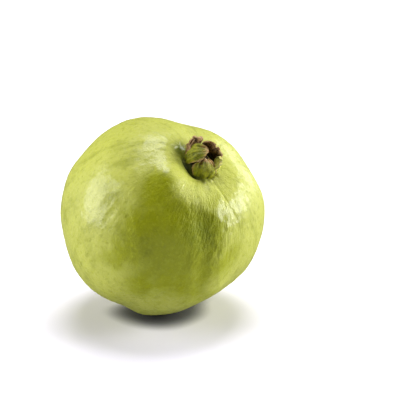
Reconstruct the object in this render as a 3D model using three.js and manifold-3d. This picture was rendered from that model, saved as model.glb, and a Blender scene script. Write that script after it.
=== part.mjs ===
// A whole guava, picked, lying on its flank with its blossom end up and to one side.
// The fruit is one solid: a round body with five broad lobes, furrows that deepen
// towards the stalk end, a shallow basin round the crown and a deeper one round the stalk.
// The crown of five dried sepals, the dried stamens inside it and the clipped stalk
// are pieces of their own.
// Units are millimetres and degrees. Z is up, and the flat resting spot is centred on the origin.
import * as THREE from "three";
import { mergeVertices } from "three/addons/utils/BufferGeometryUtils.js";
import Module from "manifold-3d";

const wasm = await Module();
wasm.setup();

// How the fruit lies
const LEAN = 38; // the fruit's axis from upright, crown end up
const HEADING = -43; // which way it leans, from +X towards +Y
const FLAT_DEPTH = 0.9; // how much of the flank the resting spot flattens

// The body of the fruit
const FRUIT_RADIUS = 46.2;
const FRUIT_HALF_LENGTH = 45.8;
const RINGS = 50;
const SEGMENTS = 72;
const GAP = 0.3; // clear space between pieces that touch in the real fruit

// Places on the skin: polar is the angle from the crown, azimuth is the angle round the
// fruit's axis from the side that it leans to.
// Furrows between the lobes, which swing sideways as they deepen
const FURROWS = [
  { azimuth: -36, depth: 3.2, spread: 14, swing: -8 },
  { azimuth: 2, depth: 3.0, spread: 15, swing: 24 },
  { azimuth: 84, depth: 2.8, spread: 17, swing: 4 },
  { azimuth: 150, depth: 3.4, spread: 19, swing: -6 },
  { azimuth: -112, depth: 1.6, spread: 15, swing: 6 },
];
const FURROW_SHARE_AT_CROWN = 0.34; // of its depth at the stalk end
const FURROW_DEEPENS = { from: 50, to: 135 }; // polar angles
const FURROW_FADE = 0.8; // how fast it dies away at the two ends

// Basins at the two ends, and the swell of the skin round them
const CROWN_BASIN = { depth: 7.6, reach: 15.5, shift: 3.2, azimuth: -62 };
const STALK_BASIN = { depth: 11, reach: 12.5 };
const SHOULDER = { height: 1.6, at: 27, reach: 12 };

// Single swellings and dents, where this fruit has them
const LUMPS = [
  { polar: 24, azimuth: -88, reach: 8, height: 1.5 },
  { polar: 15, azimuth: -144, reach: 2.6, height: 1.6 },
  { polar: 55, azimuth: 50, reach: 15, height: 1.2 },
  { polar: 108, azimuth: -5, reach: 15, height: -2.6 },
  { polar: 40, azimuth: 146, reach: 18, height: -1.5 },
  { polar: 62, azimuth: -178, reach: 10, height: 0.9 },
  { polar: 105, azimuth: -138, reach: 18, height: 0.7 },
  { polar: 136, azimuth: -64, reach: 14, height: -1.0 },
  { polar: 99, azimuth: 18, reach: 11, height: 0.4 },
  { polar: 40, azimuth: -96, reach: 7, height: -0.7 },
  { polar: 10.5, azimuth: -58, reach: 3.6, height: -1.4 },
  { polar: 133, azimuth: -99, reach: 12, height: 0.9 },
  { polar: 136, azimuth: -42, reach: 9, height: 0.9 },
];
const RIPPLE = { height: 0.22, width: 4.6 };
const RIPPLE_STARTS = { from: 6, to: 14 }; // distances from the middle of the crown

// The crown: a short tube with five sepals on its rim
const TUBE = { outer: 7.6, inner: 6.0, height: 2.6, sunk: 4 };
const TUBE_FOOT = { radius: 9.0, height: 0.4, slopeRadius: 8.0, slopeHeight: 0.9 };
// A sepal starts leaning out by lean and ends at tip, both from the axis with inwards
// negative. Hood is the radius that its sides wrap round, skew moves its tip sideways, and
// drop is how far its root stands below the others. A blunt sepal keeps its width almost to
// its end, and slant is the share by which it is longer on the side of higher azimuth.
const SEPALS = [
  {
    azimuth: -122, width: 9.8, length: 12.8, lean: 28, tip: -98,
    hood: 5.2, skew: 0.8, drop: 0, bluntness: 7, slant: -0.03,
  },
  {
    azimuth: -26, width: 13.6, length: 11.6, lean: 42, tip: -104,
    hood: 7.6, skew: -0.4, drop: 2.4, bluntness: 6, slant: 0,
  },
  {
    azimuth: 46, width: 8.4, length: 6.4, lean: 20, tip: -16,
    hood: 6.2, skew: -0.4, drop: 0, bluntness: 6, slant: 0,
  },
  {
    azimuth: 110, width: 10.4, length: 6.8, lean: 6, tip: 10,
    hood: 10, skew: -1.0, drop: 0, bluntness: 12, slant: 0.16,
  },
  {
    azimuth: 194, width: 12, length: 7.4, lean: 22, tip: 2,
    hood: 9, skew: -0.6, drop: 0, bluntness: 9, slant: -0.2,
  },
];
const SEPAL_THICKNESS = { base: 1.6, tip: 0.9 };
const SEPAL_WAIST = 0.68; // its width at the root, of its full width
const SEPAL_TIP_WIDTH = 1.2;
const SEPAL_CRIMP = { height: 0.55, along: 5, across: 2.5 }; // how its sides wave
const SEPAL_GRID = { across: 8, along: 10 };

// The dried stamens on their disc, and the style in the middle
const DISC = { radius: 5.6, topRadius: 4.8, height: 2.6, sunk: 0.5, sides: 32 };
const STYLE = { length: 4.6, tilt: 6, base: 0.75, tip: 0.5, sides: 7 };
const FILAMENT = { count: 18, base: 0.5, tip: 0.32, sides: 5 };
const FILAMENT_TILTS = { from: -34, to: -4 };
const FILAMENT_LENGTHS = { from: 2.7, to: 4.5 };
const FILAMENT_RING = { from: 2.8, to: 3.7 };
const FILAMENT_STRAY = 0.6; // of the step between two of them
const SEED = 11;

// The clipped stalk
const STALK = { radius: 2.1, waist: 2.0, end: 50, endRadius: 2.35, sides: 16 };
const STALK_FOOT = { radius: 3.1, height: 1, fade: 4, sunk: 3 };
const STALK_CUT = { angle: 14, spare: 2 };

const GROUND = { width: 120, depth: 20 }; // what the resting spot is cut with

const rad = THREE.MathUtils.degToRad;

// How far apart two places on the skin are, as an arc in millimetres.
function arcBetween(polarA, azimuthA, polarB, azimuthB) {
  const cosine =
    Math.cos(polarA) * Math.cos(polarB) +
    Math.sin(polarA) * Math.sin(polarB) * Math.cos(azimuthA - azimuthB);
  return FRUIT_RADIUS * Math.acos(THREE.MathUtils.clamp(cosine, -1, 1));
}

const bell = (x) => Math.exp(-x * x);

// The depth of all furrows together at a place on the skin.
function furrowDepth(polar, azimuth) {
  const deepening = THREE.MathUtils.smoothstep(
    polar,
    rad(FURROW_DEEPENS.from),
    rad(FURROW_DEEPENS.to),
  );
  const share = THREE.MathUtils.lerp(FURROW_SHARE_AT_CROWN, 1, deepening);
  const fade = Math.sin(polar) ** FURROW_FADE;
  let depth = 0;
  for (const furrow of FURROWS) {
    const turn = rad(furrow.azimuth + furrow.swing * deepening) - azimuth;
    const off = Math.atan2(Math.sin(turn), Math.cos(turn));
    depth += furrow.depth * bell(off / rad(furrow.spread));
  }
  return depth * share * fade;
}

// Low ripples all over the skin: three crossed pairs of waves, each with a start of its own.
function ripple(x, y, z) {
  const wave = (along, start) => Math.sin(along / RIPPLE.width + start);
  const pairs =
    wave(x, 1.3) * wave(y, 0.4) + wave(y, 2.2) * wave(z, 1.1) + wave(z, 0.8) * wave(x, 2.9);
  return RIPPLE.height * pairs;
}

// The distance of the skin from the fruit's centre at a place on it.
function skinRadius(polar, azimuth) {
  const sine = Math.sin(polar);
  const cosine = Math.cos(polar);
  let radius = 1 / Math.hypot(sine / FRUIT_RADIUS, cosine / FRUIT_HALF_LENGTH);
  radius -= furrowDepth(polar, azimuth);
  const fromCrown = FRUIT_RADIUS * polar;
  const fromStalk = FRUIT_RADIUS * (Math.PI - polar);
  const toBasin = arcBetween(
    polar,
    azimuth,
    CROWN_BASIN.shift / FRUIT_RADIUS,
    rad(CROWN_BASIN.azimuth),
  );
  radius -= CROWN_BASIN.depth * bell(toBasin / CROWN_BASIN.reach);
  radius -= STALK_BASIN.depth * bell(fromStalk / STALK_BASIN.reach);
  radius += SHOULDER.height * bell((fromStalk - SHOULDER.at) / SHOULDER.reach);
  for (const lump of LUMPS) {
    const away = arcBetween(polar, azimuth, rad(lump.polar), rad(lump.azimuth));
    radius += lump.height * bell(away / lump.reach);
  }
  const share = THREE.MathUtils.smoothstep(fromCrown, RIPPLE_STARTS.from, RIPPLE_STARTS.to);
  const across = radius * sine;
  const low = ripple(across * Math.cos(azimuth), across * Math.sin(azimuth), radius * cosine);
  return radius + share * low;
}

// Turns a closed three.js geometry into a solid that can be cut and joined.
function solidOf(geometry) {
  const bare = geometry.clone();
  bare.deleteAttribute("normal");
  bare.deleteAttribute("uv");
  const merged = mergeVertices(bare, 1e-4);
  return new wasm.Manifold(
    new wasm.Mesh({
      numProp: 3,
      vertProperties: new Float32Array(merged.attributes.position.array),
      triVerts: new Uint32Array(merged.index.array),
    }),
  );
}

// Turns a solid back into a geometry.
function geometryOf(solid) {
  const mesh = solid.getMesh();
  const geometry = new THREE.BufferGeometry();
  const places = new Float32Array(mesh.numVert * 3);
  for (let i = 0; i < mesh.numVert; i++) {
    const start = i * mesh.numProp;
    places.set(mesh.vertProperties.subarray(start, start + 3), i * 3);
  }
  geometry.setAttribute("position", new THREE.BufferAttribute(places, 3));
  geometry.setIndex(new THREE.BufferAttribute(new Uint32Array(mesh.triVerts), 1));
  geometry.computeVertexNormals();
  return geometry;
}

// Moves every vertex of a geometry by a function of its place.
function reshape(geometry, move) {
  const place = geometry.attributes.position;
  const point = new THREE.Vector3();
  for (let i = 0; i < place.count; i++) {
    point.fromBufferAttribute(place, i);
    move(point);
    place.setXYZ(i, point.x, point.y, point.z);
  }
  return geometry;
}

// The body of the fruit round its centre, its axis along Z and the crown end up.
// Grown makes it larger all over, to cut a clear space into the pieces that sit on it.
function bodySolid(grown = 0) {
  const ball = new THREE.SphereGeometry(1, SEGMENTS, RINGS).rotateX(Math.PI / 2);
  const body = reshape(ball, (p) => {
    const polar = Math.acos(THREE.MathUtils.clamp(p.z, -1, 1));
    const azimuth = Math.atan2(p.y, p.x);
    p.multiplyScalar(skinRadius(polar, azimuth) + grown);
  });
  return solidOf(body);
}

// Where the axis leaves the skin at each end.
const CROWN_SEAT = skinRadius(0, 0);
const STALK_SEAT = skinRadius(Math.PI, 0);

// One sepal as a bent, hooded blade, thick at its root and thin at its tip.
function sepalSolid(sepal) {
  const { across, along } = SEPAL_GRID;
  const lean = rad(sepal.lean);
  const bend = rad(sepal.tip) - lean;
  const rootRadius = (TUBE.outer + TUBE.inner) / 2;
  const rootHeight = CROWN_SEAT + TUBE.height - SEPAL_THICKNESS.base - sepal.drop;
  const blade = new THREE.BoxGeometry(1, 1, 1, across, along, 1);
  reshape(blade, (p) => {
    const side = 2 * p.x;
    const far = p.y + 0.5;
    const outside = p.z;
    const angle = lean + bend * far;
    const arc = (sepal.length * (1 + sepal.slant * side)) / bend;
    const taper = Math.sqrt(1 - far ** sepal.bluntness);
    const waist = THREE.MathUtils.lerp(SEPAL_WAIST, 1, THREE.MathUtils.smoothstep(far, 0, 0.5));
    const width = Math.max(sepal.width * taper * waist, SEPAL_TIP_WIDTH);
    const wrap = (side * width) / 2 / sepal.hood;
    const thickness = THREE.MathUtils.lerp(SEPAL_THICKNESS.base, SEPAL_THICKNESS.tip, far);
    const wave = SEPAL_CRIMP.along * far + SEPAL_CRIMP.across * side + sepal.azimuth;
    const lift = outside * thickness + SEPAL_CRIMP.height * far * side * Math.sin(wave);
    const sideways = (sepal.hood + lift) * Math.sin(wrap) + sepal.skew * far * far;
    const outwards = (sepal.hood + lift) * Math.cos(wrap) - sepal.hood;
    const radial = rootRadius + arc * (Math.cos(lean) - Math.cos(angle));
    const height = rootHeight + arc * (Math.sin(angle) - Math.sin(lean));
    p.set(
      radial + outwards * Math.cos(angle),
      sideways,
      height - outwards * Math.sin(angle),
    );
  });
  blade.rotateZ(rad(sepal.azimuth));
  return solidOf(blade);
}

// The short tube that the sepals stand on, wider at its foot.
function tubeSolid() {
  const low = CROWN_SEAT - TUBE.sunk;
  const high = CROWN_SEAT + TUBE.height;
  const profile = [
    new THREE.Vector2(TUBE.inner, low),
    new THREE.Vector2(TUBE_FOOT.radius, low),
    new THREE.Vector2(TUBE_FOOT.radius, CROWN_SEAT + TUBE_FOOT.height),
    new THREE.Vector2(TUBE_FOOT.slopeRadius, CROWN_SEAT + TUBE_FOOT.slopeHeight),
    new THREE.Vector2(TUBE.outer, high),
    new THREE.Vector2(TUBE.inner, high),
    new THREE.Vector2(TUBE.inner, low),
  ];
  return solidOf(new THREE.LatheGeometry(profile, 40).rotateX(Math.PI / 2));
}

// The crown: its tube and sepals joined, and its foot fitted to the skin.
function crownSolid(clearance) {
  let crown = tubeSolid();
  for (const sepal of SEPALS) {
    crown = crown.add(sepalSolid(sepal));
  }
  return crown.subtract(clearance);
}

// Repeatable numbers between 0 and 1, for the lie of the stamens.
function seededRandom(seed) {
  let state = seed;
  return () => {
    state = (state * 1664525 + 1013904223) % 4294967296;
    return state / 4294967296;
  };
}

// A tapering thread that stands up from the disc, leaning by tilt towards azimuth.
function threadSolid(thread, radius, azimuth, tilt, length) {
  const floor = CROWN_SEAT + GAP;
  const stick = new THREE.CylinderGeometry(thread.tip, thread.base, length, thread.sides, 2);
  stick.translate(0, length / 2, 0).rotateX(Math.PI / 2);
  stick.rotateY(tilt).translate(radius, 0, floor).rotateZ(azimuth);
  return solidOf(stick);
}

// What is left of the flower inside the crown: a disc, its dried stamens and the style.
function stamensSolid(clearance) {
  const random = seededRandom(SEED);
  const between = (range) => THREE.MathUtils.lerp(range.from, range.to, random());
  const disc = new THREE.CylinderGeometry(DISC.topRadius, DISC.radius, DISC.height, DISC.sides);
  disc.rotateX(Math.PI / 2).translate(0, 0, CROWN_SEAT - DISC.sunk + DISC.height / 2);
  let flower = solidOf(disc).add(threadSolid(STYLE, 0, 0, rad(STYLE.tilt), STYLE.length));
  for (let i = 0; i < FILAMENT.count; i++) {
    const azimuth = ((i + FILAMENT_STRAY * random()) * 2 * Math.PI) / FILAMENT.count;
    const tilt = rad(between(FILAMENT_TILTS));
    const length = between(FILAMENT_LENGTHS);
    const ring = between(FILAMENT_RING);
    flower = flower.add(threadSolid(FILAMENT, ring, azimuth, tilt, length));
  }
  return flower.subtract(clearance);
}

// The clipped stalk, a little thicker where it enters the fruit, with a slanting cut.
function stalkSolid(clearance) {
  const start = STALK_SEAT - STALK_FOOT.sunk;
  const stop = STALK.end + STALK_CUT.spare;
  const profile = [
    new THREE.Vector2(0, start),
    new THREE.Vector2(STALK_FOOT.radius, start),
    new THREE.Vector2(STALK_FOOT.radius, STALK_SEAT + STALK_FOOT.height),
    new THREE.Vector2(STALK.radius, STALK_SEAT + STALK_FOOT.fade),
    new THREE.Vector2(STALK.waist, (STALK_SEAT + stop) / 2),
    new THREE.Vector2(STALK.endRadius, stop),
    new THREE.Vector2(0, stop),
  ];
  const stick = new THREE.LatheGeometry(profile, STALK.sides).rotateX(-Math.PI / 2);
  const size = 2 * STALK.end;
  const cutter = new THREE.BoxGeometry(size, size, size).translate(0, 0, -size / 2);
  cutter.rotateX(rad(STALK_CUT.angle)).translate(0, 0, -STALK.end);
  return solidOf(stick).subtract(clearance).subtract(solidOf(cutter));
}

// The group leans with the fruit, at the height where the flattened flank meets the ground.
const downwards = new THREE.Vector3(0, 0, -1)
  .applyAxisAngle(new THREE.Vector3(0, 0, 1), -rad(HEADING))
  .applyAxisAngle(new THREE.Vector3(0, 1, 0), -rad(LEAN));
const restRadius = skinRadius(
  Math.acos(downwards.z),
  Math.atan2(downwards.y, downwards.x),
);
const leaning = new THREE.Group();
leaning.rotation.set(0, rad(LEAN), rad(HEADING), "ZYX");
leaning.position.z = restRadius - FLAT_DEPTH;
leaning.updateMatrix();

// The ground as a solid in the fruit's own frame, to cut the resting spot.
function groundSolid() {
  const ground = new THREE.BoxGeometry(GROUND.width, GROUND.width, GROUND.depth);
  ground.translate(0, 0, -GROUND.depth / 2);
  return solidOf(ground.applyMatrix4(leaning.matrix.clone().invert()));
}

// Adds one piece to the leaning group.
function place(name, solid, colour, roughness) {
  const material = new THREE.MeshStandardMaterial({ color: colour, roughness, metalness: 0 });
  const mesh = new THREE.Mesh(geometryOf(solid), material);
  mesh.name = name;
  leaning.add(mesh);
}

const clearance = bodySolid(GAP);
place("fruit", bodySolid().subtract(groundSolid()), 0xb4ba4c, 0.35);
place("calyx", crownSolid(clearance), 0x77662f, 0.75);
place("stamens", stamensSolid(clearance), 0x4a3620, 0.9);
place("stalk", stalkSolid(clearance), 0x7f7d35, 0.65);

const guava = new THREE.Group();
guava.add(leaning);

export default guava;
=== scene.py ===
"""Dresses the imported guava: its waxy skin, its crown of sepals, the dried stamens and the clipped stalk.

Each piece is modelled in the fruit's own frame, in millimetres, with the fruit's axis along Z and its crown
end up. It is then laid down with the fruit, in metres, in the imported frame. A place on the skin is given by
its polar angle from the crown and its azimuth round the axis, from the side that the fruit leans to.
"""

import logging
import math
from dataclasses import dataclass, field, replace
from enum import Enum
from typing import Sequence

import bmesh
import bpy
from mathutils import Matrix, Vector, noise


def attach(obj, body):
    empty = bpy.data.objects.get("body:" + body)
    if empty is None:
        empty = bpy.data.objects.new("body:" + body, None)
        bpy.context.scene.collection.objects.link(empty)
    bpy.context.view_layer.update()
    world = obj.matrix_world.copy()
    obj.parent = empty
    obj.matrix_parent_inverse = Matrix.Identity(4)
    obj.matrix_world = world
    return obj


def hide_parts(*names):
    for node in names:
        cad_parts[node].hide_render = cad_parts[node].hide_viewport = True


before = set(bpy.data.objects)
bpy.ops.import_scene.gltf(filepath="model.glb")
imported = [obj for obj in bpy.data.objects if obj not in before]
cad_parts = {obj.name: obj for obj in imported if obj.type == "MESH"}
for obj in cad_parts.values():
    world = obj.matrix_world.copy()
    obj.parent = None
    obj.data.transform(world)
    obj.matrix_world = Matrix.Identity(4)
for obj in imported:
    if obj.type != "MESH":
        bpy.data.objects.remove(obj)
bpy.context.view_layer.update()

LOG = logging.getLogger("guava")
MM = 0.001
BODY = "root"
Colour = tuple[float, float, float, float]
Place = tuple[float, float]
Span = tuple[float, float]
Socket = bpy.types.NodeSocket


class Part(Enum):
    """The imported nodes, each with the material slot that it takes in the record."""

    FRUIT = ("fruit", "skin")
    CALYX = ("calyx", "sepal")
    STAMENS = ("stamens", "stamen")
    STALK = ("stalk", "stalk")


class Sum(Enum):
    """What a sum in a material does with its two values."""

    ADD = "ADD"
    TIMES = "MULTIPLY"


def srgb(red: int, green: int, blue: int) -> Colour:
    """Turns a colour as seen on a screen, 0 to 255, into the linear colour that shaders take."""
    def linear(value: int) -> float:
        """The linear value of one channel."""
        share = value / 255
        return share / 12.92 if share <= 0.04045 else ((share + 0.055) / 1.055) ** 2.4
    return (linear(red), linear(green), linear(blue), 1.0)


def blend(low: float, high: float, share: float) -> float:
    """The value between low and high at a share from 0 to 1."""
    return low + (high - low) * share


def smoothstep(value: float, low: float, high: float) -> float:
    """Rises smoothly from 0 at low to 1 at high."""
    share = min(max((value - low) / (high - low), 0.0), 1.0)
    return share * share * (3 - 2 * share)


def bell(value: float) -> float:
    """A smooth hump, 1 at nought and dying away on both sides of it."""
    return math.exp(-value * value)


def direction(polar: float, azimuth: float) -> Vector:
    """The unit vector from the fruit's middle to a place on its skin.

    Args:
        polar: the angle from the crown, in degrees.
        azimuth: the angle round the axis, in degrees.

    Returns:
        The vector, in the fruit's own frame.
    """
    down, round_axis = math.radians(polar), math.radians(azimuth)
    sine = math.sin(down)
    return Vector((sine * math.cos(round_axis), sine * math.sin(round_axis), math.cos(down)))


@dataclass(frozen=True)
class Furrow:
    """A furrow between two lobes, which swings sideways as it deepens towards the stalk end."""

    azimuth: float
    depth: float
    spread: float
    swing: float


@dataclass(frozen=True)
class Lump:
    """A single round swelling of the skin, or a dent where its height is below nought."""

    polar: float
    azimuth: float
    reach: float
    height: float

    def at(self, towards: Vector, radius: float) -> float:
        """How much it lifts the skin in a direction.

        Args:
            towards: the unit vector to the place.
            radius: the fruit's radius.

        Returns:
            The height there.
        """
        away = radius * direction(self.polar, self.azimuth).angle(towards, 0.0)
        return self.height * bell(away / self.reach)


@dataclass(frozen=True)
class Fold:
    """A long ridge of the skin along a few places, or a crease where its height is below nought."""

    places: tuple[Place, ...]
    width: float
    height: float

    def at(self, towards: Vector, radius: float) -> float:
        """How much it lifts the skin in a direction.

        Args:
            towards: the unit vector to the place.
            radius: the fruit's radius.

        Returns:
            The height there.
        """
        spot = towards * radius
        ends = [direction(*place) * radius for place in self.places]
        if min((end - spot).length for end in ends) > 4 * self.width + self.longest(ends):
            return 0.0
        nearest = min(self.gap(spot, a, b, radius) for a, b in zip(ends, ends[1:]))
        return self.height * bell(nearest / self.width)

    @staticmethod
    def longest(ends: Sequence[Vector]) -> float:
        """The longest step between two neighbours of its places."""
        return max((b - a).length for a, b in zip(ends, ends[1:]))

    @staticmethod
    def gap(spot: Vector, start: Vector, stop: Vector, radius: float) -> float:
        """How far a place is from one straight stretch of the fold.

        Args:
            spot: the place, on the round of the given radius.
            start: where the stretch starts.
            stop: where it ends.
            radius: the fruit's radius.

        Returns:
            The distance in millimetres.
        """
        step = stop - start
        share = min(max((spot - start).dot(step) / step.length_squared, 0.0), 1.0)
        return ((start + step * share).normalized() * radius - spot).length


@dataclass(frozen=True)
class Skin:
    """The skin's shape: the solid's own form, and the finer relief that covers it."""

    radius: float = 46.2
    half_length: float = 45.8
    furrows: tuple[Furrow, ...] = (
        Furrow(-36, 3.2, 14, -8),
        Furrow(2, 3.0, 15, 24),
        Furrow(84, 2.8, 17, 4),
        Furrow(150, 3.4, 19, -6),
        Furrow(-112, 1.6, 15, 6),
    )
    furrow_share_at_crown: float = 0.34
    furrow_deepens: Span = (50, 135)
    furrow_fade: float = 0.8
    crown_basin: Lump = Lump(math.degrees(3.2 / 46.2), -62, 15.5, -7.6)
    stalk_basin: Lump = Lump(180, 0, 12.5, -11)
    shoulder_height: float = 1.6
    shoulder_at: float = 27
    shoulder_reach: float = 12
    lumps: tuple[Lump, ...] = (
        Lump(24, -88, 8, 1.5),
        Lump(15, -144, 2.6, 1.6),
        Lump(55, 50, 15, 1.2),
        Lump(108, -5, 15, -2.6),
        Lump(40, 146, 18, -1.5),
        Lump(62, -178, 10, 0.9),
        Lump(105, -138, 18, 0.7),
        Lump(136, -64, 14, -1.0),
        Lump(99, 18, 11, 0.4),
        Lump(40, -96, 7, -0.7),
        Lump(10.5, -58, 3.6, -1.4),
        Lump(133, -99, 12, 0.9),
        Lump(136, -42, 9, 0.9),
    )
    ripple_height: float = 0.22
    ripple_width: float = 4.6
    ripple_starts: Span = (6, 14)

    folds: tuple[Fold, ...] = (
        Fold(((36, -38), (53, -26), (66, -25), (90, -16)), 3.4, -0.8),
        Fold(((34, -22), (46, -15), (62, -12), (85, -5)), 3.2, 0.6),
        Fold(((44, -100), (54, -78), (70, -63)), 5, 0.5),
        Fold(((30, -86), (33, -62), (34, -38)), 5, 1.0),
        Fold(((12, -118), (11.5, -95), (11.5, -72), (12, -50)), 1.2, -0.9),
        Fold(((22, -4), (32, -1), (41, 4)), 0.8, -0.2),
        Fold(((39, -10), (58, -16)), 1.2, -0.4),
        Fold(((62, -103), (68, -101)), 1.5, 0.18),
        Fold(((65, -94), (71, -92)), 1.2, 0.15),
        Fold(((64, -85), (71, -83)), 1.1, 0.15),
        Fold(((47, -86), (51, -86)), 1.0, 0.12),
    )
    wrinkled: tuple[Lump, ...] = (
        Lump(68, -96, 8, 0.15),
        Lump(44, -20, 14, 1.0),
        Lump(33, -54, 10, 0.9),
        Lump(100, 60, 26, 0.7),
        Lump(70, 150, 26, 0.7),
    )
    wrinkle_depth: float = 0.2
    wrinkle_width: float = 3.4
    wrinkle_stretch: float = 0.5
    wrinkle_least: float = 0.06
    wrinkle_drift: float = 0.1
    wrinkle_drift_width: float = 17
    crease_sharpness: float = 2.6
    swell_share: float = 1.2
    wrinkles_start: Span = (14, 34)
    pebble_height: float = 0.1
    pebble_width: float = 2.6
    knobs: tuple[Lump, ...] = (
        Lump(13.0, -26, 1.3, 0.6),
        Lump(14.2, -11, 1.2, 0.7),
        Lump(13.2, 7, 1.2, 0.6),
        Lump(16.2, 0, 1.3, 0.5),
        Lump(12.6, 24, 1.1, 0.6),
        Lump(15.6, -24, 1.2, 0.4),
    )
    pucker: Lump = Lump(14.5, -154, 2.8, 0.35)
    pucker_creases: int = 9
    pucker_waver: float = 1.5
    pucker_crease_depth: float = 1.3
    pucker_dent: float = 1.1
    green_shade_share: float = 0.8
    green_shade_waver: float = 0.6
    green_shade_grain: float = 18
    # Spots of deep green: at the stalk and round the nub it is the skin's own green, and at the crown's foot
    # and on the front valley it is painted shade.
    green_and_shade_spots: tuple[Lump, ...] = (
        Lump(9, -125, 7, 0.6),
        Lump(14.5, -150, 3.4, 0.95),
        Lump(11, -88, 3.6, 0.7),
        Lump(46, -31, 8, 0.55),
        Lump(180, 0, 9, 0.9),
    )
    # Spots that pull the skin towards its mid colour, or pale it where they are below nought: partly its own
    # tone, partly painted shade on the front and a painted highlight on the lip below the crown.
    tone_and_light_spots: tuple[Lump, ...] = (
        Lump(60, -48, 32, 1.1),
        Lump(37, -86, 7.5, 0.5),
        Lump(26, -54, 7, -0.65),
        Lump(44, -22, 7, 0.25),
    )

    def form(self, towards: Vector) -> float:
        """The distance of the solid's own surface from the fruit's middle.

        Args:
            towards: the unit vector to the place.

        Returns:
            The distance in millimetres.
        """
        polar = math.acos(min(max(towards.z, -1.0), 1.0))
        azimuth = math.atan2(towards.y, towards.x)
        sine, cosine = math.sin(polar), math.cos(polar)
        radius = 1 / math.hypot(sine / self.radius, cosine / self.half_length)
        radius -= self.furrow_depth(polar, azimuth)
        radius += self.crown_basin.at(towards, self.radius)
        radius += self.stalk_basin.at(towards, self.radius)
        from_stalk = self.radius * (math.pi - polar)
        radius += self.shoulder_height * bell((from_stalk - self.shoulder_at) / self.shoulder_reach)
        radius += sum(lump.at(towards, self.radius) for lump in self.lumps)
        share = smoothstep(self.radius * polar, *self.ripple_starts)
        return radius + share * self.ripple(towards * radius)

    def furrow_depth(self, polar: float, azimuth: float) -> float:
        """The depth of all furrows together at a place.

        Args:
            polar: the angle from the crown, in radians.
            azimuth: the angle round the axis, in radians.

        Returns:
            The depth in millimetres.
        """
        low, high = self.furrow_deepens
        deepening = smoothstep(polar, math.radians(low), math.radians(high))
        depth = 0.0
        for furrow in self.furrows:
            turn = math.radians(furrow.azimuth + furrow.swing * deepening) - azimuth
            off = math.atan2(math.sin(turn), math.cos(turn))
            depth += furrow.depth * bell(off / math.radians(furrow.spread))
        fade = abs(math.sin(polar)) ** self.furrow_fade
        return depth * blend(self.furrow_share_at_crown, 1, deepening) * fade

    def ripple(self, spot: Vector) -> float:
        """Low ripples all over the skin: three crossed pairs of waves.

        Args:
            spot: the place in the fruit's own frame.

        Returns:
            The height there.
        """
        def wave(along: float, start: float) -> float:
            """One wave of the ripples, along one axis."""
            return math.sin(along / self.ripple_width + start)
        x, y, z = spot
        pairs = wave(x, 1.3) * wave(y, 0.4) + wave(y, 2.2) * wave(z, 1.1) + wave(z, 0.8) * wave(x, 2.9)
        return self.ripple_height * pairs

    def relief(self, towards: Vector) -> float:
        """The finer relief on top of the solid's form: folds, wrinkles along the fruit and pebbles.

        Args:
            towards: the unit vector to the place.

        Returns:
            The height in millimetres.
        """
        height = sum(fold.at(towards, self.radius) for fold in self.folds)
        spot = towards * self.radius
        grain = self.meridian(towards) * (self.radius / self.wrinkle_width)
        drift = self.wrinkle_drift * (1 + noise.noise(spot / self.wrinkle_drift_width))
        patches = self.wrinkle_least + drift + self.wrinkling(towards)
        away = smoothstep(self.radius * math.acos(min(max(towards.z, -1.0), 1.0)), *self.wrinkles_start)
        crease = (1 - min(1.0, self.crease_sharpness * abs(noise.noise(grain)))) ** 2
        swell = noise.noise(spot / self.wrinkle_width)
        height += min(patches, 1.0) * self.wrinkle_depth * (self.swell_share * swell - away * crease)
        height += self.pebble_height * noise.fractal(spot / self.pebble_width, 0.8, 2.1, 3)
        height += sum(knob.at(towards, self.radius) for knob in self.knobs)
        return height + self.pucker_height(towards)

    def wrinkling(self, towards: Vector) -> float:
        """How strongly the skin is wrinkled at a place, 1 or more in the middle of a wrinkled patch."""
        return sum(patch.at(towards, self.radius) for patch in self.wrinkled)

    def green_and_shade(self, towards: Vector) -> float:
        """How green the skin is at a place: its own green at the stalk and round the nub, and painted shade
        in the groove at the crown's foot and along a valley of the front.
        """
        away = sum(spot.at(towards, self.radius) for spot in self.green_and_shade_spots)
        waver = self.green_shade_share + self.green_shade_waver * noise.noise(towards * self.green_shade_grain)
        return min(max(away * waver, 0.0), 1.0)

    def paleness_and_light(self, towards: Vector) -> float:
        """How pale the skin is at a place, 1 or more at its most pale: partly its own tone, and partly
        painted light, darker on the shaded front and paler on the lit lip below the crown.
        """
        return 1 - sum(spot.at(towards, self.radius) for spot in self.tone_and_light_spots)

    def pucker_height(self, towards: Vector) -> float:
        """The height of the pucker: a small dent with a ring of creases round it.

        Args:
            towards: the unit vector to the place.

        Returns:
            The height in millimetres.
        """
        near = self.pucker.at(towards, self.radius)
        if abs(near) < 0.01:
            return 0.0
        middle = direction(self.pucker.polar, self.pucker.azimuth)
        across = middle.orthogonal().normalized()
        turn = math.atan2(towards.dot(middle.cross(across)), towards.dot(across))
        ring = self.pucker_crease_depth * near * (1 - near / self.pucker.height)
        creases = math.cos(self.pucker_creases * turn + self.pucker_waver * math.sin(2 * turn))
        return ring * creases - self.pucker_dent * near

    def meridian(self, towards: Vector) -> Vector:
        """Coordinates in which a pattern runs along the fruit, from the crown to the stalk.

        Args:
            towards: the unit vector to the place.

        Returns:
            The point round the axis, with the stretched polar angle as its height.
        """
        polar = math.acos(min(max(towards.z, -1.0), 1.0))
        flat = Vector((towards.x, towards.y))
        flat = flat.normalized() if flat.length > 1e-6 else Vector((1, 0))
        return Vector((flat.x, flat.y, polar * self.wrinkle_stretch))


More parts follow.
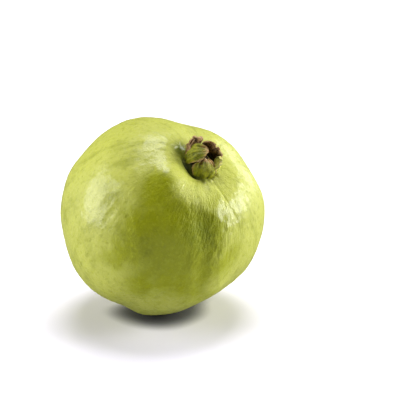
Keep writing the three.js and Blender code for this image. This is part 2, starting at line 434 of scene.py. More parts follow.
@dataclass(frozen=True)
class Lie:
    """How the fruit lies on its flank."""

    lean: float = 38
    heading: float = -43
    flat_depth: float = 0.9

    def turn(self) -> Matrix:
        """The rotation from the fruit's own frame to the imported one."""
        lean = Matrix.Rotation(math.radians(self.lean), 4, "Y")
        return Matrix.Rotation(math.radians(self.heading), 4, "Z") @ lean

    def height(self, skin: Skin) -> float:
        """How high the fruit's middle is above the ground, in millimetres."""
        downwards = self.turn().inverted() @ Vector((0, 0, -1))
        return skin.form(downwards) - self.flat_depth

    def matrix(self, skin: Skin) -> Matrix:
        """The place of the fruit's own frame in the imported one, with its change of units."""
        return Matrix.Translation((0, 0, self.height(skin) * MM)) @ self.turn() @ Matrix.Scale(MM, 4)


class Bench:
    """A material in the making: a Principled surface and short calls for the nodes that feed it."""

    def __init__(self, name: str) -> None:
        """Starts a material of that name.

        Args:
            name: the material's name.
        """
        self.material = bpy.data.materials.new(name)
        self.material.use_nodes = True
        self.nodes = self.material.node_tree.nodes
        self.links = self.material.node_tree.links
        self.surface = self.nodes["Principled BSDF"]
        self.places = self.nodes.new("ShaderNodeTexCoord").outputs["Object"]

    def settle(self, **values: float | Colour) -> None:
        """Sets sockets of the surface, with underscores for the spaces in their names."""
        for name, value in values.items():
            self.surface.inputs[name.replace("_", " ")].default_value = value

    def feed(self, name: str, source: Socket) -> None:
        """Links a source to a socket of the surface."""
        self.links.new(source, self.surface.inputs[name])

    def noise(
        self, size: float, detail: float = 3, rough: float = 0.5, places: Socket | None = None
    ) -> Socket:
        """A noise texture.

        Args:
            size: the size of its largest blots, in the unit of its places.
            detail: how many finer layers it has.
            rough: how strong the finer layers are.
            places: the coordinates, or None for the object's own.

        Returns:
            Its value, about 0.5 in the middle.
        """
        node = self.nodes.new("ShaderNodeTexNoise")
        node.inputs["Scale"].default_value = 1 / size
        node.inputs["Detail"].default_value = detail
        node.inputs["Roughness"].default_value = rough
        self.links.new(places or self.places, node.inputs["Vector"])
        return node.outputs["Fac"]

    def cells(self, size: float) -> Socket:
        """The distance to the nearest of many scattered points."""
        node = self.nodes.new("ShaderNodeTexVoronoi")
        node.inputs["Scale"].default_value = 1 / size
        self.links.new(self.places, node.inputs["Vector"])
        return node.outputs["Distance"]

    def attribute(self, name: str, output: str = "Fac") -> Socket:
        """A named attribute of the piece's own mesh."""
        node = self.nodes.new("ShaderNodeAttribute")
        node.attribute_name = name
        return node.outputs[output]

    def remap(self, source: Socket, low: float, high: float, to_low: float = 0, to_high: float = 1) -> Socket:
        """Stretches a value from one range to another and holds it there.

        Args:
            source: the value.
            low: where the first range starts.
            high: where the first range ends.
            to_low: what low becomes.
            to_high: what high becomes.

        Returns:
            The new value.
        """
        node = self.nodes.new("ShaderNodeMapRange")
        node.interpolation_type = "SMOOTHSTEP"
        for name, value in (("From Min", low), ("From Max", high), ("To Min", to_low), ("To Max", to_high)):
            node.inputs[name].default_value = value
        self.links.new(source, node.inputs["Value"])
        return node.outputs["Result"]

    def sum(self, kind: Sum, first: Socket, second: Socket | float) -> Socket:
        """Adds or multiplies two values.

        Args:
            kind: which of the two it does.
            first: the first value.
            second: the second value, or a plain number.

        Returns:
            The result.
        """
        node = self.nodes.new("ShaderNodeMath")
        node.operation = kind.value
        self.links.new(first, node.inputs[0])
        if isinstance(second, (int, float)):
            node.inputs[1].default_value = second
        else:
            self.links.new(second, node.inputs[1])
        return node.outputs["Value"]

    def mix(self, share: Socket, first: Socket | Colour, second: Socket | Colour) -> Socket:
        """Mixes two colours.

        Args:
            share: how much of the second shows, 0 to 1.
            first: the colour at 0.
            second: the colour at 1.

        Returns:
            The mixed colour.
        """
        node = self.nodes.new("ShaderNodeMix")
        node.data_type = "RGBA"
        self.links.new(share, node.inputs["Factor"])
        for name, colour in (("A", first), ("B", second)):
            socket = next(i for i in node.inputs if i.name == name and i.type == "RGBA")
            if isinstance(colour, tuple):
                socket.default_value = colour
            else:
                self.links.new(colour, socket)
        return next(o for o in node.outputs if o.type == "RGBA")

    def bump(self, height: Socket, distance: float, strength: float = 1.0) -> None:
        """Adds a bump under any that the surface already has.

        Args:
            height: the height, 0 to 1.
            distance: how far 1 stands up, in metres.
            strength: how much of it is felt.
        """
        node = self.nodes.new("ShaderNodeBump")
        node.inputs["Distance"].default_value = distance
        node.inputs["Strength"].default_value = strength
        self.links.new(height, node.inputs["Height"])
        normal = self.surface.inputs["Normal"]
        if normal.is_linked:
            self.links.new(normal.links[0].from_socket, node.inputs["Normal"])
        self.links.new(node.outputs["Normal"], normal)


@dataclass(frozen=True)
class SkinFinish:
    """Waxy fruit skin: yellow-green, mottled with paler dots and darker streaks."""

    mid: Colour = srgb(142, 148, 0)
    deep: Colour = srgb(116, 123, 0)
    pale: Colour = srgb(180, 184, 84)
    dot: Colour = srgb(174, 179, 44)
    green: Colour = srgb(98, 113, 4)
    streak_size: float = 0.16
    cloud_size: float = 11 * MM
    mottle_size: float = 2.1 * MM
    dot_size: float = 1.3 * MM
    glint_size: float = 0.032
    glint_height: float = 0.8 * MM
    grain_size: float = 1.0 * MM
    grain_height: float = 0.24 * MM
    pore_size: float = 0.7 * MM
    pore_height: float = 0.05 * MM

    def make(self) -> bpy.types.Material:
        """Makes the material.

        Returns:
            The skin's material.
        """
        bench = Bench("guava_skin")
        streaks = bench.noise(self.streak_size, 4, 0.6, bench.attribute("meridian", "Vector"))
        clouds = bench.noise(self.cloud_size, 3, 0.55)
        mottle = bench.noise(self.mottle_size, 3, 0.6)
        drift = bench.remap(clouds, 0.3, 0.7, -0.2, 0.2)
        # The mix from mid to pale is partly the skin's own tone and partly painted light and shade.
        paleness_and_light = bench.sum(Sum.ADD, bench.attribute("paleness_and_light"), drift)
        colour = bench.mix(bench.remap(paleness_and_light, 0.1, 0.9), self.mid, self.pale)
        colour = bench.mix(bench.remap(streaks, 0.5, 0.72, 0, 0.45), colour, self.deep)
        colour = bench.mix(bench.remap(mottle, 0.5, 0.75, 0, 0.4), colour, self.deep)
        dots = bench.remap(bench.noise(self.dot_size, 3, 0.7), 0.5, 0.72, 0, 0.45)
        colour = bench.mix(dots, colour, self.dot)
        # Deep green where the skin is green, and painted shade at the crown's foot and in the front valley.
        colour = bench.mix(bench.attribute("green_and_shade"), colour, self.green)
        bench.feed("Base Color", colour)
        bench.feed("Roughness", bench.remap(mottle, 0.3, 0.7, 0.38, 0.52))
        bench.settle(Subsurface_Weight=0.12, Subsurface_Scale=3 * MM, IOR=1.28)
        bench.settle(Coat_Weight=0.38, Coat_Roughness=0.22)
        bench.surface.inputs["Subsurface Radius"].default_value = (0.8, 1.0, 0.2)
        glints = bench.noise(self.glint_size, 3, 0.55, bench.attribute("meridian", "Vector"))
        patches = bench.remap(bench.attribute("wrinkling"), 0, 0.9, 0.25, 1)
        bench.bump(bench.sum(Sum.TIMES, glints, patches), self.glint_height)
        bench.bump(bench.noise(self.grain_size, 4, 0.65), self.grain_height)
        bench.bump(bench.cells(self.pore_size), self.pore_height)
        return bench.material


@dataclass(frozen=True)
class SepalFinish:
    """Leathery sepal: green where it is fresh, tan at the rim, and dark brown inside, deepened by painted
    shade in the crown's hollow.
    """

    name: str
    dryness: float
    fresh: Colour = srgb(156, 158, 14)
    fresh_deep: Colour = srgb(88, 93, 0)
    dry: Colour = srgb(160, 125, 64)
    dry_deep: Colour = srgb(66, 46, 19)
    rim: Colour = srgb(192, 156, 102)
    # The inner face's colour: dried brown taken down to near black as painted shade in the hollow.
    inside: Colour = srgb(38, 27, 12)
    blotch_size: float = 1.7 * MM
    fine_size: float = 0.5 * MM
    streak_size: float = 0.55
    fine_height: float = 0.3 * MM
    vein_height: float = 0.5 * MM

    def paled_and_lit(self) -> "SepalFinish":
        """The same finish in paler colours for the thin sepal that the lights catch: partly its own pale
        green, and partly painted light.
        """
        fresh, deep = srgb(240, 244, 122), srgb(214, 220, 84)
        return replace(self, fresh=fresh, fresh_deep=deep, rim=srgb(206, 200, 126))

    def make(self) -> bpy.types.Material:
        """Makes the material.

        Returns:
            The sepal's material.
        """
        bench = Bench(self.name)
        blotch = bench.noise(self.blotch_size, 4, 0.65)
        fine = bench.noise(self.fine_size, 3, 0.6)
        streak = bench.noise(self.streak_size, 4, 0.6, bench.attribute("blade", "Vector"))
        lines = bench.remap(streak, 0.36, 0.66, 0, 0.55)
        spots = bench.remap(blotch, 0.36, 0.64, 0, 0.45)
        green = bench.mix(bench.sum(Sum.ADD, lines, spots), self.fresh_deep, self.fresh)
        brown = bench.mix(bench.remap(fine, 0.38, 0.62), self.dry_deep, self.dry)
        drying = bench.sum(Sum.ADD, bench.remap(blotch, 0.3, 0.7, -0.3, 0.3), self.dryness)
        drying = bench.sum(Sum.ADD, drying, bench.remap(bench.attribute("far"), 0.45, 1, 0, 0.45))
        colour = bench.mix(bench.remap(drying, 0.3, 0.7), green, brown)
        edge = bench.remap(bench.attribute("edge"), 0.78, 0.97)
        worn = bench.sum(Sum.TIMES, edge, bench.remap(fine, 0.3, 0.6))
        colour = bench.mix(worn, colour, self.rim)
        # The inner face is painted dark: its own dried brown deepened as painted shade in the hollow.
        dark = bench.mix(bench.remap(fine, 0.35, 0.65), self.inside, self.dry_deep)
        colour = bench.mix(bench.attribute("inner"), colour, dark)
        bench.feed("Base Color", colour)
        bench.feed("Roughness", bench.remap(fine, 0.3, 0.7, 0.32, 0.62))
        bench.settle(Subsurface_Weight=0.05, Subsurface_Scale=1 * MM, IOR=1.34)
        bench.bump(fine, self.fine_height)
        bench.bump(blotch, self.vein_height)
        bench.bump(streak, self.vein_height)
        return bench.material


@dataclass(frozen=True)
class DryFinish:
    """Dry plant fibre, such as a stamen or a stalk: two tones in fine streaks."""

    name: str
    light: Colour
    dark: Colour
    size: float = 0.5
    rough: float = 0.7

    def make(self) -> bpy.types.Material:
        """Makes the material.

        Returns:
            The material of the dry piece.
        """
        bench = Bench(self.name)
        blots = bench.noise(self.size * MM, 4, 0.65)
        bench.feed("Base Color", bench.mix(bench.remap(blots, 0.38, 0.62), self.dark, self.light))
        bench.feed("Roughness", bench.remap(blots, 0.3, 0.7, self.rough, self.rough - 0.2))
        bench.bump(blots, 0.3 * self.size * MM)
        return bench.material


def piece_from(mesh: bmesh.types.BMesh, name: str, matrix: Matrix) -> bpy.types.Object:
    """Lays a finished mesh down with the fruit and makes it an object at the origin.

    Args:
        mesh: the shape, in the fruit's own frame and in millimetres. It is freed.
        name: the object's name.
        matrix: the place of the fruit's own frame.

    Returns:
        The object, linked to the scene.
    """
    bmesh.ops.transform(mesh, matrix=matrix, verts=mesh.verts)
    bmesh.ops.recalc_face_normals(mesh, faces=mesh.faces)
    for face in mesh.faces:
        face.smooth = True
    data = bpy.data.meshes.new(name)
    mesh.to_mesh(data)
    mesh.free()
    piece = bpy.data.objects.new(name, data)
    bpy.context.scene.collection.objects.link(piece)
    return piece


def dress(piece: bpy.types.Object, material: bpy.types.Material, part: Part) -> None:
    """Gives a piece its material and says what it stands for.

    Args:
        piece: the piece.
        material: its finish.
        part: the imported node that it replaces, with the node's slot.
    """
    node, slot = part.value
    piece.data.materials.append(material)
    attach(piece, BODY)
    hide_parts(node)
    LOG.info("%s stands for %s, with %d faces", piece.name, node, len(piece.data.polygons))


def round_off(piece: bpy.types.Object, levels: int) -> None:
    """Smooths a piece with a Subdivision Surface modifier."""
    modifier = piece.modifiers.new("Rounding", "SUBSURF")
    modifier.levels = modifier.render_levels = levels


@dataclass
class FruitBody:
    """The body of the fruit: a ball of even faces, moved to the skin's form and relief."""

    skin: Skin
    lie: Lie
    cuts: int = 104
    crown_reach: float = 34

    def build(self) -> bpy.types.Object:
        """Models the body.

        Returns:
            The body of the fruit.
        """
        mesh = bmesh.new()
        bmesh.ops.create_cube(mesh, size=2)
        bmesh.ops.subdivide_edges(mesh, edges=mesh.edges, cuts=self.cuts, use_grid_fill=True)
        for vert in mesh.verts:
            vert.co = self.evened(vert.co).normalized()
        near = [edge for edge in mesh.edges if self.near_crown(edge)]
        bmesh.ops.subdivide_edges(mesh, edges=near, cuts=1, use_grid_fill=True)
        grain = mesh.verts.layers.float_vector.new("meridian")
        green_and_shade = mesh.verts.layers.float.new("green_and_shade")
        paleness_and_light = mesh.verts.layers.float.new("paleness_and_light")
        wrinkling = mesh.verts.layers.float.new("wrinkling")
        for vert in mesh.verts:
            towards = vert.co.normalized()
            vert[grain] = self.skin.meridian(towards)
            vert[green_and_shade] = self.skin.green_and_shade(towards)
            vert[paleness_and_light] = self.skin.paleness_and_light(towards)
            vert[wrinkling] = self.skin.wrinkling(towards)
            vert.co = towards * (self.skin.form(towards) + self.skin.relief(towards))
        matrix = self.lie.matrix(self.skin)
        piece = piece_from(mesh, "fruit_body", matrix)
        for vert in piece.data.vertices:
            vert.co.z = max(vert.co.z, 0.0)
        return piece

    @staticmethod
    def evened(spot: Vector) -> Vector:
        """Spreads a cube's rows so that they are even once they are on a ball."""
        return Vector(math.tan(value * math.pi / 4) for value in spot)

    def near_crown(self, edge: bmesh.types.BMEdge) -> bool:
        """Whether both ends of an edge lie near the crown."""
        limit = math.cos(math.radians(self.crown_reach))
        return all(vert.co.z > limit for vert in edge.verts)

    def dress(self) -> None:
        """Builds the body and gives it its skin."""
        dress(self.build(), SkinFinish().make(), Part.FRUIT)


@dataclass(frozen=True)
class Sepal:
    """One sepal of the crown, a bent and hooded blade.

    Attributes:
        name: the piece's name.
        azimuth: where it stands round the axis, in degrees.
        width: its greatest width.
        length: its length along the bend.
        lean: how steeply its root rises from the basin, in degrees.
        tip: the same at its tip, after the bend.
        hood: the radius of its curve from side to side.
        skew: how far its tip is off to the side.
        drop: how far its root is below the tube's rim.
        bluntness: how square its tip is.
        slant: how much longer it is on one side than on the other.
        dryness: how far it has dried, from fresh at 0 to brown at 1.
        inner_shade: how much painted shade darkens its inner face, over its own dried brown.
        crumple: how crumpled it is.
        seed: which noise it takes.
    """

    name: str
    azimuth: float
    width: float
    length: float
    lean: float
    tip: float
    hood: float
    skew: float
    drop: float
    bluntness: float
    slant: float
    dryness: float
    inner_shade: float
    crumple: float
    seed: float


@dataclass
class Crown:
    """The crown at the blossom end: a short tube with five sepals on its rim."""

    skin: Skin
    lie: Lie
    outer: float = 7.6
    inner: float = 6.0
    height: float = 2.6
    sunk: float = 4
    foot_radius: float = 9.0
    foot_height: float = 0.4
    slope_radius: float = 8.0
    slope_height: float = 0.9
    base_thickness: float = 1.6
    tip_thickness: float = 0.9
    waist: float = 0.68
    tip_width: float = 1.2
    raggedness: float = 0.28
    ragged_sides: float = 0.12
    rib_height: float = 0.2
    ribs: float = 9
    crimp_height: float = 0.55
    crimp_along: float = 5
    crimp_across: float = 2.5
    across: int = 26
    along: int = 32
    pale_lit_sepal: str = "sepal_right"
    # Round this azimuth the tube's foot is painted dark, as the shade in the gap at the crown's foot.
    groove_at: float = -85
    groove_spread: float = 60
    groove_shade: float = 0.95
    rim_round: float = 0.4
    rim_inset: float = 0.3
    tube_swell: float = 0.3
    tube_steps: int = 96
    sepals: tuple[Sepal, ...] = (
        Sepal(
            "sepal_left", azimuth=-122, width=9.8, length=12.8, lean=28, tip=-98, hood=5.2, skew=0.8,
            drop=0, bluntness=7, slant=-0.03, dryness=0.0, inner_shade=1.0, crumple=0.4, seed=1,
        ),
        Sepal(
            "sepal_front", azimuth=-26, width=13.6, length=11.6, lean=42, tip=-104, hood=7.6, skew=-0.4,
            drop=2.4, bluntness=6, slant=0, dryness=0.08, inner_shade=1.0, crumple=0.45, seed=2,
        ),
        Sepal(
            "sepal_right", azimuth=46, width=8.4, length=6.4, lean=20, tip=-16, hood=6.2, skew=-0.4,
            drop=0, bluntness=6, slant=0, dryness=-0.8, inner_shade=0.0, crumple=0.3, seed=3,
        ),
        Sepal(
            "sepal_far", azimuth=110, width=10.4, length=6.8, lean=6, tip=10, hood=10, skew=-1.0,
            drop=0, bluntness=12, slant=0.16, dryness=0.75, inner_shade=0.9, crumple=1.0, seed=4,
        ),
        Sepal(
            "sepal_back", azimuth=194, width=12, length=7.4, lean=22, tip=2, hood=9, skew=-0.6,
            drop=0, bluntness=9, slant=-0.2, dryness=0.95, inner_shade=1.0, crumple=1.0, seed=8,
        ),
    )

    def seat(self) -> float:
        """Where the fruit's axis leaves the skin, in millimetres from its middle."""
        return self.skin.form(Vector((0, 0, 1)))

    def blade_width(self, sepal: Sepal, side: float, far: float) -> float:
        """How wide the blade is, with its ragged sides.

        Args:
            sepal: the sepal.
            side: across the blade, from -1 to 1.
            far: along the blade, from 0 at its root to 1 at its tip.

        Returns:
            The width in millimetres.
        """
        taper = math.sqrt(max(0.0, 1 - far ** sepal.bluntness))
        waist = blend(self.waist, 1, smoothstep(far, 0, 0.5))
        ragged = 1 + self.ragged_sides * far * noise.noise(Vector((far * 6, sepal.seed, side)))
        return max(sepal.width * taper * waist * ragged, self.tip_width)

    def blade_lift(self, sepal: Sepal, side: float, far: float, outside: float) -> float:
        """How far a point is lifted off the blade's middle sheet, with its ribs and crumpling.

        Args:
            sepal: the sepal.
            side: across the blade, from -1 to 1.
            far: along the blade, from 0 at its root to 1 at its tip.
            outside: through the blade, 0.5 on its outer face and -0.5 on its inner one.

        Returns:
            The lift in millimetres.
        """
        rough = noise.noise(Vector((side * 1.5, far * 2.2, sepal.seed * 7.3)))
        crease = noise.noise(Vector((side * 3.4, far * 4.5, sepal.seed * 3.1)))
        fine = noise.noise(Vector((side * 6.5, far * 8, sepal.seed * 5.9)))
        thickness = blend(self.base_thickness, self.tip_thickness, far)
        wave = self.crimp_along * far + self.crimp_across * side + sepal.azimuth
        lift = outside * thickness + self.crimp_height * far * side * math.sin(wave)
        lift += sepal.crumple * far * (1.2 * rough + 0.9 * crease + 0.5 * fine)
        if outside > 0:
            rib = math.cos(side * self.ribs + sepal.seed + 2 * rough) + 0.8 * crease
            lift += self.rib_height * rib * (1 - 0.7 * far)
        return lift

    def blade_place(self, sepal: Sepal, side: float, far: float, outside: float) -> Vector:
        """Where a point of the flat blade goes.

        Args:
            sepal: the sepal.
            side: across the blade, from -1 to 1.
            far: along the blade, from 0 at its root to 1 at its tip.
            outside: through the blade, 0.5 on its outer face and -0.5 on its inner one.

        Returns:
            The point in the fruit's own frame.
        """
        lean, tip = math.radians(sepal.lean), math.radians(sepal.tip)
        bend = tip - lean
        arc = sepal.length * (1 + sepal.slant * side) / bend
        arc *= 1 + self.raggedness * sepal.crumple * noise.noise(Vector((side * 4.2, sepal.seed, 0.5)))
        angle = lean + bend * far
        wrap = side * self.blade_width(sepal, side, far) / 2 / sepal.hood
        lift = self.blade_lift(sepal, side, far, outside)
        sideways = (sepal.hood + lift) * math.sin(wrap) + sepal.skew * far * far
        outwards = (sepal.hood + lift) * math.cos(wrap) - sepal.hood
        radial = (self.outer + self.inner) / 2 + arc * (math.cos(lean) - math.cos(angle))
        root = self.seat() + self.height - self.base_thickness - sepal.drop
        height = root + arc * (math.sin(angle) - math.sin(lean))
        spot = Vector((radial + outwards * math.cos(angle), sideways, height - outwards * math.sin(angle)))
        return Matrix.Rotation(math.radians(sepal.azimuth), 3, "Z") @ spot

    def build_sepal(self, sepal: Sepal) -> bpy.types.Object:
        """Models one sepal.

        Args:
            sepal: the sepal.

        Returns:
            Its piece.
        """
        mesh = bmesh.new()
        bmesh.ops.create_cube(mesh, size=1)
        for axis, cuts in ((0, self.across - 1), (1, self.along - 1)):
            rows = [e for e in mesh.edges if abs(e.verts[0].co[axis] - e.verts[1].co[axis]) > 0.5]
            bmesh.ops.subdivide_edges(mesh, edges=rows, cuts=cuts, use_grid_fill=True)
        edge = mesh.verts.layers.float.new("edge")
        inner = mesh.verts.layers.float.new("inner")
        far_along = mesh.verts.layers.float.new("far")
        blade = mesh.verts.layers.float_vector.new("blade")
        for vert in mesh.verts:
            side, far, outside = 2 * vert.co.x, vert.co.y + 0.5, vert.co.z
            vert[edge] = max(abs(side), far)
            # Painted shade on the inner face, darkest at the root deep in the hollow and fading towards the
            # tip.
            vert[inner] = sepal.inner_shade * (1 - 0.8 * smoothstep(far, 0.2, 0.85)) if outside < 0 else 0.0
            vert[far_along] = far
            vert[blade] = Vector((3.2 * side, 1.3 * far, sepal.seed))
            vert.co = self.blade_place(sepal, side, far, outside)
        piece = piece_from(mesh, sepal.name, self.lie.matrix(self.skin))
        round_off(piece, 1)
        return piece

    def build_tube(self) -> bpy.types.Object:
        """Models the short tube that the sepals stand on.

        Returns:
            The tube's piece.
        """
        seat = self.seat()
        low, high = seat - self.sunk, seat + self.height
        profile = (
            (self.inner, low),
            (self.foot_radius, low),
            (self.foot_radius, seat + self.foot_height),
            (self.slope_radius, seat + self.slope_height),
            (self.outer, high - self.rim_round),
            (self.outer - self.rim_round, high),
            (self.inner + self.rim_inset, high),
            (self.inner, high - self.rim_round),
        )
        mesh = bmesh.new()
        verts = [mesh.verts.new((radius, 0, height)) for radius, height in profile]
        ring = [mesh.edges.new((a, b)) for a, b in zip(verts, verts[1:] + verts[:1])]
        turn = {"cent": (0, 0, 0), "axis": (0, 0, 1), "angle": math.tau, "steps": self.tube_steps}
        bmesh.ops.spin(mesh, geom=verts + ring, use_merge=True, **turn)
        rings = [e for e in mesh.edges if abs(e.verts[0].co.z - e.verts[1].co.z) > 0.5]
        bmesh.ops.subdivide_edges(mesh, edges=rings, cuts=3)
        inner = mesh.verts.layers.float.new("inner")
        for vert in mesh.verts:
            # Painted shade: the tube's inner wall is painted fully dark, and its foot darkens round
            # groove_at.
            wall = math.hypot(vert.co.x, vert.co.y) < self.outer - 0.5
            azimuth = math.degrees(math.atan2(vert.co.y, vert.co.x))
            groove = self.groove_shade * bell((azimuth - self.groove_at) / self.groove_spread)
            vert[inner] = 1.0 if wall else groove
            spot = Vector((vert.co.x * 0.5, vert.co.y * 0.5, vert.co.z * 0.3))
            swell = self.tube_swell * noise.noise(spot)
            vert.co.xy *= 1 + swell / self.outer
        return piece_from(mesh, "calyx_tube", self.lie.matrix(self.skin))

    def dress(self) -> None:
        """Builds the crown and gives each part its finish."""
        # The tube's inside colour is a dark green that paints the shade in its hollow and in the gap at its
        # foot.
        groove = SepalFinish("calyx_tube_green", -0.2, inside=srgb(42, 52, 4), dry_deep=srgb(68, 76, 8))
        dress(self.build_tube(), groove.make(), Part.CALYX)
        for sepal in self.sepals:
            finish = SepalFinish(f"{sepal.name}_leather", sepal.dryness)
            # The thin right sepal is brightened: partly its own pale green, partly painted light.
            if sepal.name == self.pale_lit_sepal:
                finish = finish.paled_and_lit()
            dress(self.build_sepal(sepal), finish.make(), Part.CALYX)


@dataclass
class Stamens:
    """What is left of the flower inside the crown: a disc, dried filaments and the style."""

    skin: Skin
    lie: Lie
    seat: float
    disc_radius: float = 5.6
    disc_top_radius: float = 4.8
    disc_depth: float = 2.6
    disc_height: float = 2.1
    ring: float = 3.4
    count: int = 46
    length: float = 3.6
    steps: int = 5
    thread_radii: Span = (0.22, 0.14)
    lean_inwards: float = 1.9
    style_length: float = 3.4
    style_lean: Vector = field(default_factory=lambda: Vector((0.3, -0.1, 0)))
    style_radii: Span = (0.6, 0.42)
    seed: int = 11

    def thread(
        self, mesh: bmesh.types.BMesh, base: Vector, lean: Vector, length: float, radii: Span
    ) -> None:
        """Adds one tapering thread.

        Args:
            mesh: the mesh that it goes into.
            base: where it starts.
            lean: how far its tip is off to the side.
            length: its length.
            radii: its radius at the root and at the tip.
        """
        middle, radius = base, radii[0]
        foot = Matrix.Translation(base)
        made = bmesh.ops.create_circle(mesh, cap_ends=True, segments=7, radius=radius, matrix=foot)["verts"]
        top = made[0].link_faces[0]
        for step in range(1, self.steps + 1):
            geometry = bmesh.ops.extrude_face_region(mesh, geom=[top])["geom"]
            if step > 1:
                bmesh.ops.delete(mesh, geom=[top], context="FACES_ONLY")
            top = next(part for part in geometry if isinstance(part, bmesh.types.BMFace))
            up = step / self.steps
            below, middle = middle, base + lean * up * up + Vector((0, 0, length * up))
            shrink, radius = blend(*radii, up) / radius, blend(*radii, up)
            for vert in top.verts:
                vert.co = middle + (vert.co - below) * shrink

    def build(self) -> bpy.types.Object:
        """Models the disc and what stands on it.

        Returns:
            The piece.
        """
        mesh = bmesh.new()
        floor = self.floor()
        noise.seed_set(self.seed)
        for index in range(self.count):
            azimuth = (index + 0.6 * noise.random()) * math.tau / self.count
            ring = self.ring * (0.75 + 0.45 * noise.random())
            base = floor + Vector((ring * math.cos(azimuth), ring * math.sin(azimuth), -0.1))
            pull = self.lean_inwards * noise.random()
            inward = Vector((-math.cos(azimuth), -math.sin(azimuth), 0)) * pull
            around = Vector((-math.sin(azimuth), math.cos(azimuth), 0)) * (noise.random() - 0.5)
            length = self.length * (0.5 + 0.5 * noise.random())
            self.thread(mesh, base, inward + around, length, self.thread_radii)
        middle = Matrix.Translation((0, 0, self.seat + self.disc_height - self.disc_depth / 2))
        radii = {"radius1": self.disc_radius, "radius2": self.disc_top_radius}
        bmesh.ops.create_cone(mesh, cap_ends=True, segments=48, depth=self.disc_depth, matrix=middle, **radii)
        return piece_from(mesh, "flower_remains", self.lie.matrix(self.skin))

    def floor(self) -> Vector:
        """Where the threads start, just inside the disc's top."""
        return Vector((0, 0, self.seat + self.disc_height - 0.3))

    def build_style(self) -> bpy.types.Object:
        """Models the style, the thicker thread in the middle."""
        mesh = bmesh.new()
        lean = self.style_lean * self.style_length
        self.thread(mesh, self.floor(), lean, self.style_length, self.style_radii)
        return piece_from(mesh, "style", self.lie.matrix(self.skin))

    def dress(self) -> None:
        """Builds the stamens and the style, and gives them their finishes."""
        dark = DryFinish("dried_stamens", srgb(96, 72, 40), srgb(34, 24, 12))
        dress(self.build(), dark.make(), Part.STAMENS)
        light = DryFinish("dried_style", srgb(196, 180, 130), srgb(120, 96, 54))
        dress(self.build_style(), light.make(), Part.STAMENS)


@dataclass
class Stalk:
    """The clipped stalk at the far end, thicker at its foot and cut at a slant."""

    skin: Skin
    lie: Lie
    radius: float = 2.1
    waist: float = 2.0
    end: float = 50
    end_radius: float = 2.35
    foot_radius: float = 3.1
    foot_sunk: float = 3
    cut_angle: float = 14
    ribs: int = 7
    rib_height: float = 0.05
    knobbliness: float = 0.12

    def build(self) -> bpy.types.Object:
        """Models the stalk.

        Returns:
            The stalk's piece.
        """
        seat = self.skin.form(Vector((0, 0, -1)))
        stop = self.end + 2
        profile = (
            (0, seat - self.foot_sunk),
            (self.foot_radius, seat - self.foot_sunk),
            (self.foot_radius, seat + 1),
            (self.radius, seat + 4),
            (self.waist, (seat + stop) / 2),
            (self.end_radius, stop),
            (0, stop),
        )
        mesh = bmesh.new()
        verts = [mesh.verts.new((radius, 0, -height)) for radius, height in profile]
        edges = [mesh.edges.new((a, b)) for a, b in zip(verts, verts[1:])]
        turn = {"cent": (0, 0, 0), "axis": (0, 0, 1), "angle": math.tau, "steps": 40}
        bmesh.ops.spin(mesh, geom=verts + edges, use_merge=True, **turn)
        bmesh.ops.remove_doubles(mesh, verts=mesh.verts, dist=1e-4)
        walls = [e for e in mesh.edges if abs(e.verts[0].co.z - e.verts[1].co.z) > 1]
        bmesh.ops.subdivide_edges(mesh, edges=walls, cuts=6)
        for vert in mesh.verts:
            azimuth = math.atan2(vert.co.y, vert.co.x)
            ribs = self.rib_height * math.cos(self.ribs * azimuth)
            ribs += self.knobbliness * noise.noise(vert.co * 0.6)
            vert.co.xy *= 1 + ribs / self.radius
        angle = math.radians(self.cut_angle)
        plane = {"plane_co": (0, 0, -self.end), "plane_no": Vector((0, math.sin(angle), -math.cos(angle)))}
        whole = list(mesh.verts) + list(mesh.edges) + list(mesh.faces)
        cut = bmesh.ops.bisect_plane(mesh, geom=whole, clear_outer=True, **plane)
        rim = [g for g in cut["geom_cut"] if isinstance(g, bmesh.types.BMEdge)]
        bmesh.ops.contextual_create(mesh, geom=rim)
        return piece_from(mesh, "stalk_stub", self.lie.matrix(self.skin))

    def dress(self) -> None:
        """Builds the stalk and gives it its finish."""
        finish = DryFinish("stalk_bark", srgb(132, 130, 50), srgb(96, 80, 34), 1.4)
        dress(self.build(), finish.make(), Part.STALK)


@dataclass(frozen=True)
class Softbox:
    """A square studio light, aimed at the fruit."""

    name: str
    place: tuple[float, float, float]
    size: float
    power: float

    def light(self, target: Vector) -> None:
        """Sets the light up.

        Args:
            target: the point that it faces.
        """
        data = bpy.data.lights.new(self.name, "AREA")
        data.shape = "SQUARE"
        data.size = self.size
        data.energy = self.power
        lamp = bpy.data.objects.new(self.name, data)
        lamp.location = self.place
        lamp.rotation_euler = (target - lamp.location).to_track_quat("-Z", "Y").to_euler()
        bpy.context.scene.collection.objects.link(lamp)


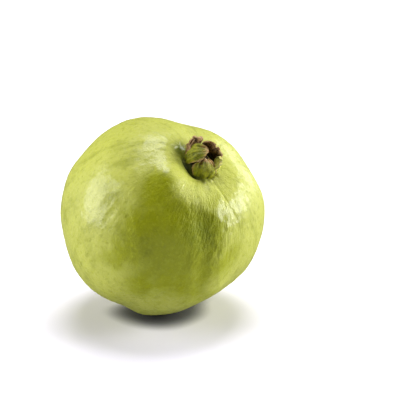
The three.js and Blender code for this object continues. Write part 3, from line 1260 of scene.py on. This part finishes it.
@dataclass
class Studio:
    """The pale floor, the soft lights and the camera."""

    middle: Vector
    softboxes: tuple[Softbox, ...] = (
        Softbox("key_right", (1.15, 0.1, 0.34), 0.6, 17),
        Softbox("rim_right", (0.8, 0.85, 0.36), 0.6, 5),
        Softbox("fill_left", (-1.1, -0.06, 0.4), 0.8, 16),
        Softbox("top", (0.1, 0.42, 1.48), 0.9, 24),
    )
    world_strength: float = 0.04
    floor_size: float = 14
    floor_white: Colour = srgb(245, 242, 255)
    floor_bounce: Colour = srgb(240, 240, 246)
    floor_gloom: Colour = srgb(60, 60, 60)
    # The colour of the contact shadow painted on the floor.
    floor_painted_shadow: Colour = srgb(70, 70, 76)
    shade_reach: float = 9 * MM
    shade_range: Span = (0.2, 0.95)
    elevation: float = 20
    distance: float = 0.6
    lens: float = 113
    frame_shift: Span = (21.2 * MM, 3.7 * MM)

    def lay_floor(self) -> None:
        """Lays the floor under the fruit, with a painted contact shadow: darker to the camera where the fruit
        is close above it.
        """
        mesh = bmesh.new()
        bmesh.ops.create_grid(mesh, x_segments=4, y_segments=4, size=self.floor_size / 2)
        data = bpy.data.meshes.new("floor")
        mesh.to_mesh(data)
        mesh.free()
        floor = bpy.data.objects.new("floor", data)
        bpy.context.scene.collection.objects.link(floor)
        bench = Bench("white_paper")
        path = bench.nodes.new("ShaderNodeLightPath").outputs
        unseen = bench.mix(path["Is Glossy Ray"], self.floor_bounce, self.floor_gloom)
        # Ambient occlusion paints a contact shadow into the colour that the camera sees.
        near = bench.nodes.new("ShaderNodeAmbientOcclusion")
        near.inputs["Distance"].default_value = self.shade_reach
        openness = bench.remap(near.outputs["AO"], *self.shade_range)
        seen = bench.mix(openness, self.floor_painted_shadow, self.floor_white)
        bench.feed("Base Color", bench.mix(path["Is Camera Ray"], unseen, seen))
        bench.settle(Roughness=0.9)
        data.materials.append(bench.material)

    def hang_lights(self) -> None:
        """Hangs the softboxes and sets a dim world that the camera sees as white."""
        for softbox in self.softboxes:
            softbox.light(self.middle)
        world = bpy.data.worlds.new("studio")
        bpy.context.scene.world = world
        world.use_nodes = True
        nodes, links = world.node_tree.nodes, world.node_tree.links
        seen, lit = nodes["Background"], nodes.new("ShaderNodeBackground")
        seen.inputs["Color"].default_value = (1, 1, 1, 1)
        lit.inputs["Color"].default_value = (1, 1, 1, 1)
        lit.inputs["Strength"].default_value = self.world_strength
        mix, path = nodes.new("ShaderNodeMixShader"), nodes.new("ShaderNodeLightPath")
        links.new(path.outputs["Is Camera Ray"], mix.inputs["Fac"])
        links.new(lit.outputs["Background"], mix.inputs[1])
        links.new(seen.outputs["Background"], mix.inputs[2])
        links.new(mix.outputs["Shader"], nodes["World Output"].inputs["Surface"])

    def set_camera(self) -> None:
        """Sets the camera at the photograph's angle, with the fruit a little left of the middle."""
        tilt = math.radians(self.elevation)
        forward = Vector((0, math.cos(tilt), -math.sin(tilt)))
        upward = Vector((0, math.sin(tilt), math.cos(tilt)))
        right, up = self.frame_shift
        data = bpy.data.cameras.new("camera")
        data.lens = self.lens
        camera = bpy.data.objects.new("camera", data)
        camera.location = self.middle + Vector((right, 0, 0)) + upward * up - forward * self.distance
        camera.rotation_euler = forward.to_track_quat("-Z", "Y").to_euler()
        bpy.context.scene.collection.objects.link(camera)
        bpy.context.scene.camera = camera

    def dress(self) -> None:
        """Sets up the whole studio."""
        self.lay_floor()
        self.hang_lights()
        self.set_camera()
        bpy.context.scene.view_settings.view_transform = "Standard"


def main() -> None:
    """Builds and dresses the guava, piece by piece, and then its studio."""
    logging.basicConfig(level=logging.INFO)
    skin, lie = Skin(), Lie()
    FruitBody(skin, lie).dress()
    crown = Crown(skin, lie)
    crown.dress()
    Stamens(skin, lie, crown.seat()).dress()
    Stalk(skin, lie).dress()
    Studio(Vector((0, 0, lie.height(skin) * MM))).dress()


if __name__ == "__main__":
    main()
